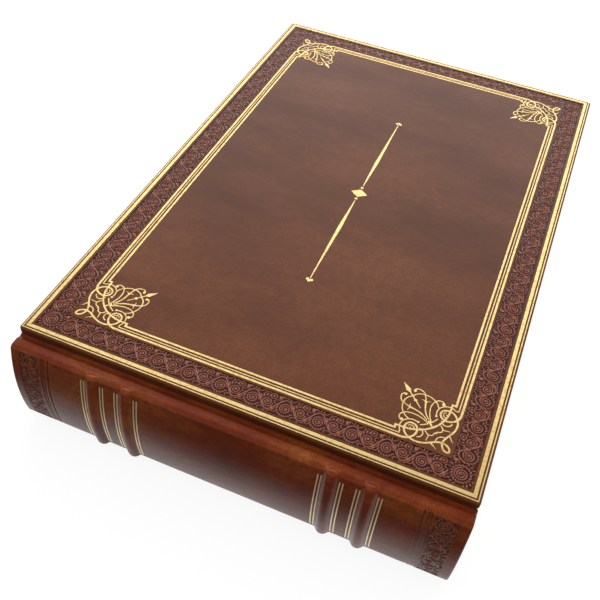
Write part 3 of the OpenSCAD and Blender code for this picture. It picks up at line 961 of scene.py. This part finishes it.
@dataclass
class Cover:
    """A board covered with leather, with a sunk ring for the scroll band on the front.

    Attributes:
        sizes: the book's sizes.
        palette: the materials.
        half: which cover it is.
        corner_r: rounding of the corners, seen from above.
        arris_r: rounding of the long edges.
        ring_at: distance of the sunk ring from the edge of the cover.
        ring_w: width of the sunk ring.
        ring_depth: depth of the sunk ring.
    """

    sizes: BookSizes
    palette: Palette
    half: Half
    corner_r: float = 1.4 * MM
    arris_r: float = 0.9 * MM
    ring_at: float = 5.0 * MM
    ring_w: float = ScrollPattern.width
    ring_depth: float = 0.5 * MM

    def build(self) -> bpy.types.Object:
        """Models, dresses and mounts the cover.

        Returns:
            The finished cover.
        """
        b = self.sizes
        low, high = b.inner_z, b.top_z
        if self.half is Half.LOWER:
            low, high = b.top_z - high, b.top_z - low
        only()
        bpy.ops.mesh.primitive_cube_add(
            size=1, location=((b.edge_x + b.fore_x) / 2, 0, (low + high) / 2),
            scale=(b.fore_x - b.edge_x, 2 * b.half_h, high - low),
        )
        cover = bpy.context.active_object
        cover.name = cover.data.name = f"{self.half.cover.value}_calf"
        bpy.ops.object.transform_apply(location=True, rotation=True, scale=True)
        bpy.ops.object.mode_set(mode="EDIT")
        pick(cover, "edge", lambda e: abs(e.verts[0].co.z - e.verts[1].co.z) > 1 * MM)
        bpy.ops.mesh.bevel(offset=self.corner_r, segments=5)
        pick(cover, "edge", lambda e: abs(e.verts[0].co.z - e.verts[1].co.z) < 0.1 * MM)
        bpy.ops.mesh.bevel(offset=self.arris_r, segments=4)
        bpy.ops.object.mode_set(mode="OBJECT")
        if self.half is Half.UPPER:
            self._sink_ring(cover)
        smooth(cover)
        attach(cover, self.half.cover.value)
        side = self.half.cover.value.split("_")[0]
        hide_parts(f"{side}_leather", f"{side}_board")
        self.palette.dress(cover, "cover_leather")
        return cover

    def _sink_ring(self, cover: bpy.types.Object) -> None:
        """Cuts the ring out of the cover's face with a frame-shaped cutter.

        Args:
            cover: the cover, in object mode.
        """
        b = self.sizes
        only()
        bpy.ops.mesh.primitive_cube_add(
            size=1, location=((b.edge_x + b.fore_x) / 2, 0, b.top_z),
            scale=(b.fore_x - b.edge_x - 2 * self.ring_at, 2 * (b.half_h - self.ring_at),
                   2 * self.ring_depth),
        )
        cutter = bpy.context.active_object
        bpy.ops.object.transform_apply(location=True, rotation=True, scale=True)
        bpy.ops.object.mode_set(mode="EDIT")
        pick(cutter, "face", lambda f: abs(f.normal.z) > 0.9)
        bpy.ops.mesh.inset(thickness=self.ring_w)
        bpy.ops.mesh.bridge_edge_loops()
        bpy.ops.object.mode_set(mode="OBJECT")
        only(cover)
        cut = cover.modifiers.new("ring", "BOOLEAN")
        cut.operation, cut.object, cut.solver = "DIFFERENCE", cutter, "EXACT"
        bpy.ops.object.modifier_apply(modifier=cut.name)
        bpy.data.objects.remove(cutter)


@dataclass
class ScrollBand:
    """The blind-stamped scroll round the front cover: four strips and four corner squares.

    Attributes:
        sizes: the book's sizes.
        palette: the materials.
        cover: the cover whose sunk ring the band fills.
        pattern: the scroll.
        step: distance between points of the relief.
        ground: depth of the stamped ground under the face of the cover.
        rise: height of the figure over the ground.
    """

    sizes: BookSizes
    palette: Palette
    cover: Cover
    pattern: ScrollPattern = field(default_factory=ScrollPattern)
    step: float = 0.2 * MM
    ground: float = 0.3 * MM
    rise: float = 0.26 * MM

    def _slab(
        self, name: str, low: tuple[float, float], high: tuple[float, float], draw: Draw
    ) -> bpy.types.Object:
        """Models one closed slab of the band.

        Args:
            name: name of the piece.
            low: low corner, seen from above.
            high: high corner, seen from above.
            draw: gives how far a point stands up, from its x and y.

        Returns:
            The finished slab.
        """
        counts = [max(2, round((high[i] - low[i]) / self.step)) + 1 for i in range(2)]
        x, y = (np.linspace(low[i], high[i], counts[i]) for i in range(2))
        x, y = np.meshgrid(x, y, indexing="ij")
        standing = draw(x, y)
        z = self.sizes.top_z - self.ground + self.rise * standing
        top = np.stack([x, y, z], axis=-1).reshape(-1, 3)
        rim = rim_of(*counts)
        foot = top[rim].copy()
        foot[:, 2] = self.sizes.top_z - self.cover.ring_depth
        under = len(top) + np.arange(len(rim))
        walls = np.stack([rim, under, np.roll(under, -1), np.roll(rim, -1)], axis=-1)
        faces = grid_faces(*counts).tolist() + walls.tolist() + [under[::-1].tolist()]
        figure = np.concatenate([standing.ravel(), np.zeros(len(rim))])
        slab = mesh_piece(name, np.concatenate([top, foot]), faces, figure=figure,
                          stamped=np.ones(len(figure)))
        smooth(slab, 60.0)
        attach(slab, Body.FRONT.value)
        self.palette.dress(slab, "cover_leather")
        return slab

    def _corner(self, number: int, x: float, y: float) -> bpy.types.Object:
        """Models one corner square.

        Args:
            number: its number in the piece's name.
            x: its lowest x.
            y: its lowest y.

        Returns:
            The finished square.
        """
        w = self.cover.ring_w
        return self._slab(
            f"scroll_corner_{number}", (x, y), (x + w, y + w),
            lambda u, v: self.pattern.corner(u - x, v - y),
        )

    def _repeats(self, length: float) -> float:
        """How far a strip of this length is stretched to hold whole repeats of the scroll."""
        return self.pattern.pitch * round(length / self.pattern.pitch) / length

    def build(self) -> list[bpy.types.Object]:
        """Builds the four strips and the four corner squares.

        Returns:
            All eight slabs.
        """
        b, w = self.sizes, self.cover.ring_w
        x0, x1 = b.edge_x + self.cover.ring_at, b.fore_x - self.cover.ring_at
        y0, y1 = self.cover.ring_at - b.half_h, b.half_h - self.cover.ring_at
        left, right, tail, head = x0 + w, x1 - w, y0 + w, y1 - w
        fit_x, fit_y = self._repeats(right - left), self._repeats(head - tail)
        scroll = self.pattern.field
        slabs = [
            self._slab("scroll_tail", (left, y0), (right, tail),
                       lambda x, y: scroll((x - left) * fit_x, y - y0)),
            self._slab("scroll_head", (left, head), (right, y1),
                       lambda x, y: scroll((right - x) * fit_x, y1 - y)),
            self._slab("scroll_spine", (x0, tail), (left, head),
                       lambda x, y: scroll((head - y) * fit_y, x - x0)),
            self._slab("scroll_fore", (right, tail), (x1, head),
                       lambda x, y: scroll((y - tail) * fit_y, x1 - x)),
        ]
        places = ((right, head), (right, y0), (x0, head), (x0, y0))
        return slabs + [self._corner(i, *place) for i, place in enumerate(places, 1)]


@dataclass
class SpineLeather:
    """The leather of the rounded spine and its joints, as an upper and a lower half.

    Attributes:
        sizes: the book's sizes.
        palette: the materials.
        face_r: radius of the spine face.
        shoulder_r: radius of its shoulders.
        step: distance between points round the spine.
        end_r: rounding of the leather over both ends.
        turned_t: thickness where the leather is turned in over the card.
        tuck: how far the leather runs in under a board.
        hollow: depth of the hollow that the bone folder leaves in a joint.
        hollow_at: distance of that hollow from the board.
        hollow_half: half of its width.
        line_depth: depth of the blind lines.
        pattern: the scroll stamped near both ends.
        panel_depth: depth of the panels' ground.
        panel: first and last place of a stamped panel, from the middle of the spine.
        blind_lines: places of the blind lines, from the middle of the spine.
        line_half: half of a blind line's width.
        fade: stretch over which a mark fades out below the shoulder.
        relief_from: distance from the middle of the spine where the stamped end begins.
        fold_half: half of the stretch over which a joint bends; not used.
        darkened: how far the tool's heat has darkened the panels and lines.
    """

    sizes: BookSizes
    palette: Palette
    face_r: float = 100 * MM
    shoulder_r: float = 2.4 * MM
    step: float = 0.3 * MM
    end_r: float = 0.9 * MM
    turned_t: float = 2.4 * MM
    tuck: float = 0.6 * MM
    hollow: float = 0.7 * MM
    hollow_at: float = 1.0 * MM
    hollow_half: float = 1.8 * MM
    line_depth: float = 0.3 * MM
    pattern: ScrollPattern = field(default_factory=ScrollPattern)
    panel_depth: float = 0.3 * MM
    panel: tuple[float, float] = (89.0 * MM, 98.5 * MM)
    blind_lines: tuple[float, ...] = (84.2 * MM, 86.2 * MM, 87.4 * MM)
    line_half: float = 0.5 * MM
    fade: float = 0.6 * MM
    relief_from: float = 83 * MM
    fold_half: float = 1.2 * MM
    darkened: float = 0.75

    def _path(self) -> tuple[Field, Field, Field]:
        """Runs from the middle of the spine over the shoulder to the board.

        Returns:
            Points (x, height over the middle), their outward directions, and the share of a
            raised band's height that each one gets.
        """
        b, r, small = self.sizes, self.face_r, self.shoulder_r
        centre_x = b.spine_x + r
        lift = b.joint_half - small
        bend = math.asin(lift / (r - small))
        shoulder_x = centre_x - (r - small) * math.cos(bend)
        up = math.pi / 2
        face = np.linspace(0, bend, round(r * bend / self.step) + 1)[:-1]
        corner = np.linspace(bend, up, round(small * (up - bend) / self.step) + 1)
        ledge = np.linspace(shoulder_x, b.edge_x + self.tuck, 18)[1:]
        turn = np.concatenate([face, corner, np.full(len(ledge), up)])
        out = np.stack([-np.cos(turn), np.sin(turn)], axis=-1)
        points = np.concatenate([
            np.array([centre_x, 0]) + r * out[: len(face)],
            np.array([shoulder_x, lift]) + small * out[len(face) : len(face) + len(corner)],
            np.stack([ledge, np.full(len(ledge), b.joint_half)], axis=-1),
        ])
        off = (points[:, 0] - b.edge_x + self.hollow_at) / self.hollow_half
        points[:, 1] -= np.where(turn >= up, self.hollow * swung(1 - np.abs(off)), 0.0)
        return points, out, swung((up - turn) / (0.6 * (up - bend)))

    def _places(self) -> Field:
        """Places along Y, close together where the spine has relief and wide apart elsewhere.

        Returns:
            The places in order, from end to end.
        """
        b = self.sizes
        y = np.arange(-b.half_h, b.half_h, self.step)
        busy = np.abs(y) > self.relief_from
        for at in b.band_places:
            busy |= np.abs(y - at) < b.band_half + 1 * MM
        return np.append(y[busy | (np.arange(len(y)) % 6 == 0)], b.half_h)

    def _swell(self, y: Field) -> Field:
        """Height of the raised bands over the face, full-bodied and with hollow feet.

        Args:
            y: places along Y.

        Returns:
            The height at each place.
        """
        b = self.sizes
        height = np.zeros_like(y)
        for at in b.band_places:
            off = np.clip(np.abs(y - at) / b.band_half, 0, 1)
            height += b.band_rise * (1 - off**2.6) ** 1.5
        return height

    def _grooves(self, y: Field) -> Field:
        """How far each place lies in a blind line, 0 to 1."""
        off = np.min([np.abs(np.abs(y) - at) for at in self.blind_lines], axis=0)
        return swung(1 - off / self.line_half)

    def _half(self, half: Half) -> bpy.types.Object:
        """Models one half as a closed shell.

        Args:
            half: which half it is.

        Returns:
            The half, at rest.
        """
        b = self.sizes
        points, out, share = self._path()
        y = self._places()
        run = np.concatenate([[0], np.cumsum(np.hypot(*np.diff(points, axis=0).T))])
        ends = np.clip(np.abs(y) - (b.half_h - self.end_r), 0, self.end_r)
        fall = self.end_r - np.sqrt(self.end_r**2 - ends**2)
        bump = np.outer(share, self._swell(y))
        start, end = self.panel
        lines = swung((b.joint_half - self.fade - points[:, 1]) / self.fade)
        reach = swung((b.joint_half - self.shoulder_r + 1 * MM - points[:, 1]) / self.fade)
        stamped = np.outer(reach, (np.abs(y) > start) & (np.abs(y) < end))
        across = (np.abs(y) - start) / (end - start) * self.pattern.width
        figure = self.pattern.field(run[:, None] * half.value, across[None, :]) * stamped
        grooves = np.outer(lines, self._grooves(y))
        marks = self.panel_depth * (figure - stamped) - self.line_depth * grooves
        turned_in = np.outer(swung((b.hinge_x - points[:, 0]) / MM), ends > 0)
        depth = b.leather_t + (self.turned_t - b.leather_t) * turned_in
        shells = []
        for height in (bump + marks - fall, bump - depth):
            x = points[:, :1] + out[:, :1] * height
            z = b.mid_z + half.value * (points[:, 1:] + out[:, 1:] * height)
            shells.append(np.stack([x, np.broadcast_to(y, x.shape), z], axis=-1).reshape(-1, 3))
        rows, columns = len(points), len(y)
        count = rows * columns
        rim = rim_of(rows, columns)
        walls = np.stack([rim, rim + count, np.roll(rim, -1) + count, np.roll(rim, -1)], axis=-1)
        faces = np.concatenate([
            grid_faces(rows, columns), grid_faces(rows, columns, count, turned=True), walls
        ])
        if half is Half.LOWER:
            faces = faces[:, ::-1]
        blank = np.zeros(count)
        return mesh_piece(
            f"spine_calf_{half.name.lower()}", np.concatenate(shells), faces.tolist(),
            figure=np.concatenate([figure.ravel(), blank]),
            stamped=np.concatenate([self.darkened * np.maximum(stamped, grooves).ravel(), blank]),
        )

    def build(self) -> list[bpy.types.Object]:
        """Builds both halves.

        Returns:
            The upper and the lower half.
        """
        halves = []
        for half in Half:
            piece = self._half(half)
            smooth(piece, 60.0)
            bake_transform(piece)
            self.palette.dress(piece, "spine_leather")
            halves.append(piece)
        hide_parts("spine_leather")
        return halves


@dataclass
class Endband:
    """Silk windings over the core of an endband.

    Attributes:
        sizes: the book's sizes.
        palette: the materials.
        end: 1 for the head, -1 for the tail.
        core_r: radius of the core.
        thread_r: radius of the thread.
        stop: how far short of the first and last leaf the band ends.
        run_length: windings in a run of one colour.
    """

    sizes: BookSizes
    palette: Palette
    end: int
    core_r: float = 1.0 * MM
    thread_r: float = 0.24 * MM
    stop: float = 2.5 * MM
    run_length: int = 4

    def build(self) -> bpy.types.Object:
        """Winds the thread.

        Returns:
            The finished windings as one piece.
        """
        b = self.sizes
        centre = Vector((b.back_x + b.back_r, self.end * (b.block_half_h + self.core_r), b.mid_z))
        radius = b.back_r - 0.6 * self.core_r
        turn = math.asin((b.back_half - self.stop) / b.back_r)
        count = int(2 * turn * radius / (2 * self.thread_r))
        only()
        bpy.ops.mesh.primitive_torus_add(
            major_radius=self.core_r, minor_radius=self.thread_r,
            major_segments=16, minor_segments=6,
        )
        ring = bpy.context.active_object
        ring.data.attributes.new("run", "FLOAT", "POINT")
        rings = []
        for i in range(count):
            angle = turn * (2 * (i + 0.5) / count - 1)
            copy = ring.copy()
            copy.data = ring.data.copy()
            colours = [float(i // self.run_length % 2)] * len(copy.data.vertices)
            copy.data.attributes["run"].data.foreach_set("value", colours)
            place = centre + Vector((-math.cos(angle), 0, math.sin(angle))) * radius
            copy.data.transform(Matrix.Translation(place) @ Matrix.Rotation(angle, 4, "Y"))
            bpy.context.collection.objects.link(copy)
            rings.append(copy)
        bpy.data.objects.remove(ring)
        only(*rings)
        bpy.ops.object.join()
        windings = bpy.context.active_object
        name = "head" if self.end > 0 else "tail"
        windings.name = windings.data.name = f"{name}_band_thread"
        smooth(windings, 80.0)
        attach(windings, Body.BLOCK.value)
        self.palette.dress(windings, "endband_silk")
        return windings


@dataclass
class Studio:
    """Plain pale floor, soft light and the camera.

    Attributes:
        eye: place of the camera.
        target: point in the middle of the picture.
        roll: turn of the camera about its own axis, in degrees.
        lens: focal length on a sensor 36 mm wide, in millimetres.
        book_half: half of the book's length and height, which the floor's mirror glow follows.
        lamp_at: place of the lamp, which points at the book.
        lamp_size: its length and width.
        lamp_power: its power, in watts.
    """

    eye: Vector = field(default_factory=lambda: Vector((-0.31820, -0.07709, 0.32012)))
    target: Vector = field(default_factory=lambda: Vector((-0.08026, -0.00100, 0.0560)))
    roll: float = 6.09
    lens: float = 47.18
    book_half: tuple[float, float] = (159 * MM, 103 * MM)
    lamp_at: Vector = field(default_factory=lambda: Vector((1.2, 0.3, 1.0)))
    lamp_size: tuple[float, float] = (1.6, 1.2)
    lamp_power: float = 9.0

    def build(self) -> None:
        """Builds the floor, the world, the lamp and the camera."""
        self._floor()
        self._world()
        self._lamp()
        self._camera()
        bpy.context.scene.view_settings.view_transform = "Standard"

    @staticmethod
    def _seen(n: Nodes) -> bpy.types.NodeSocket:
        """Tells the rays that see a surface from those that gather light.

        Args:
            n: the material's nodes.

        Returns:
            A socket that is 1 for a camera, glossy or transmission ray.
        """
        ways = n.add("LightPath").outputs
        seen = n.maths("MAXIMUM", ways["Is Camera Ray"], ways["Is Glossy Ray"])
        return n.maths("MAXIMUM", seen, ways["Is Transmission Ray"])

    def _floor(self) -> None:
        """A wide white floor with the book's shadow, mirrored darker away from the book."""
        only()
        bpy.ops.mesh.primitive_plane_add(size=8)
        floor = bpy.context.active_object
        floor.name = "floor"
        paint = bpy.data.materials.new("floor_white")
        paint.use_nodes = True
        n = Nodes(paint.node_tree)
        ways = n.add("LightPath").outputs
        grey = n.mix(ways["Is Camera Ray"], (0.3,) * 3, (0.85,) * 3)
        matt = n.add("BsdfDiffuse", {"Color": grey})
        place = n.add("SeparateXYZ", {"Vector": n.add("TexCoord").outputs["Object"]}).outputs
        off_x, off_y = (
            n.maths("SUBTRACT", n.maths("ABSOLUTE", place[axis]), half)
            for axis, half in zip("XY", self.book_half)
        )
        near = n.fit(n.maths("MAXIMUM", off_x, off_y), 6 * MM, 30 * MM, 1.2, 0.12)
        level = n.choose(ways["Is Glossy Ray"], 1.12, near)
        white = n.add("Emission", {"Color": (1, 1, 1, 1), "Strength": level})
        share = n.maths("MULTIPLY", self._seen(n), 0.8)
        mixed = n.add("MixShader", {0: share, 1: matt.outputs[0], 2: white.outputs[0]})
        n.add("OutputMaterial", {"Surface": mixed.outputs[0]})
        floor.data.materials.append(paint)

    def _world(self) -> None:
        """A soft sky, seen as white: lights from overhead, and is mirrored brighter lower down."""
        world = bpy.data.worlds.new("studio")
        bpy.context.scene.world = world
        world.use_nodes = True
        n = Nodes(world.node_tree)
        ray = n.add("SeparateXYZ", {"Vector": n.add("TexCoord").outputs["Generated"]}).outputs
        lit = self._slope(n, 0.25, (ray["X"], 0.4), (ray["Z"], 0.75))
        mirrored = self._slope(n, 1.5, (ray["Y"], 0.35), (ray["Z"], -1.55))
        ways = n.add("LightPath").outputs
        level = n.choose(ways["Is Glossy Ray"], lit, mirrored)
        straight = n.maths("MAXIMUM", ways["Is Camera Ray"], ways["Is Transmission Ray"])
        strength = n.choose(straight, level, 1.0)
        sky = n.add("Background", {"Color": (1, 1, 1, 1), "Strength": strength})
        n.add("OutputWorld", {"Surface": sky.outputs[0]})

    @staticmethod
    def _slope(
        n: Nodes, start: float, *parts: tuple[bpy.types.NodeSocket, float]
    ) -> bpy.types.NodeSocket:
        """A brightness that changes with the direction, never under a faint glow.

        Args:
            n: the world's nodes.
            start: brightness where every socket is 0.
            *parts: sockets, each with how much it adds where it is 1.

        Returns:
            The brightness's socket.
        """
        level = start
        for socket, share in parts:
            level = n.maths("ADD", n.maths("MULTIPLY", socket, share), level)
        return n.maths("MAXIMUM", level, 0.06)

    def _lamp(self) -> None:
        """A large soft lamp beyond the fore edge."""
        light = bpy.data.lights.new("window", "AREA")
        light.shape, light.energy = "RECTANGLE", self.lamp_power
        light.size, light.size_y = self.lamp_size
        lamp = bpy.data.objects.new("window", light)
        lamp.location = self.lamp_at
        lamp.rotation_mode = "QUATERNION"
        lamp.rotation_quaternion = (-lamp.location).to_track_quat("-Z", "Y")
        bpy.context.collection.objects.link(lamp)

    def _camera(self) -> None:
        """The camera at the photograph's place."""
        data = bpy.data.cameras.new("camera")
        data.lens, data.sensor_width = self.lens, 36.0
        data.clip_start = 10 * MM
        camera = bpy.data.objects.new("camera", data)
        facing = (self.target - self.eye).to_track_quat("-Z", "Y").to_matrix().to_4x4()
        camera.matrix_world = (
            Matrix.Translation(self.eye) @ facing @ Matrix.Rotation(math.radians(self.roll), 4, "Z")
        )
        bpy.context.collection.objects.link(camera)
        bpy.context.scene.camera = camera


def main() -> None:
    """Builds the whole scene."""
    logging.basicConfig(level=logging.INFO, format="%(message)s", stream=sys.stdout)
    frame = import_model()
    sizes = BookSizes.measured(frame)
    palette = Palette()
    for row in frame["record"]["subparts"]:
        palette.dress(frame["nodes"][row["node"]], row["material_slot"], row["node"])
        LOG.info("node %s dressed as %s", row["node"], row["material_slot"])
    covers = {half: Cover(sizes, palette, half) for half in Half}
    pieces = [cover.build() for cover in covers.values()]
    pieces += ScrollBand(sizes, palette, covers[Half.UPPER]).build()
    pieces += SpineLeather(sizes, palette).build()
    pieces += [Endband(sizes, palette, end).build() for end in (1, -1)]
    for piece in pieces:
        piece.data.calc_loop_triangles()
        LOG.info("piece %s: %d triangles", piece.name, len(piece.data.loop_triangles))
    Studio().build()


if __name__ == "__main__":
    main()
